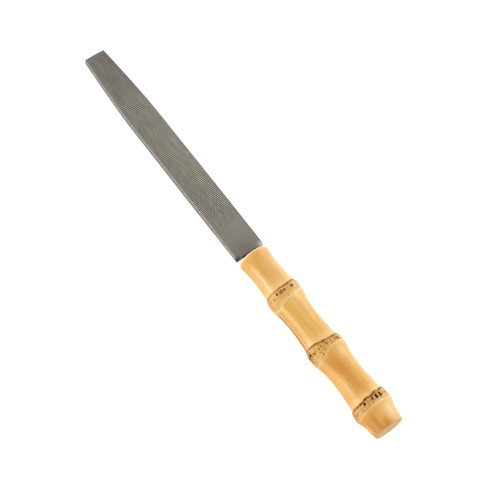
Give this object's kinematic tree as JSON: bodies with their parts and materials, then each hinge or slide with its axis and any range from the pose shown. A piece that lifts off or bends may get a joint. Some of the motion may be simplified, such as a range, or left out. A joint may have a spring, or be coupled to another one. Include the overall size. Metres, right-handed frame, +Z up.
{
  "type": "flat file",
  "caption": "Flat metalworking file: parallel-sided double-cut blade drawn in at the tip, its tang bedded in resin in a knobbly bamboo-root handle.",
  "frame": {"origin": "on the surface the tool lies on, under the middle of its bounding box", "axes": "+Z up, +X towards the blade's tip. The tool lies as it does on a bench, on the lower edge of its tip and the underside of the handle's front rim, so its own axis drops 2.542 degrees towards the tip."},
  "size_m": [0.2212, 0.0176, 0.0196],
  "materials": {
    "blade_steel": "satin grey hardened tool steel, toothed faces, smooth edges and heel",
    "bamboo": "honey-coloured bamboo root under clear gloss lacquer",
    "resin": "dark brown set resin"
  },
  "bodies": {
    "root": {"file_blade": "blade_steel", "bamboo_handle": "bamboo", "tang_adhesive": "resin"}
  },
  "joints": []
}
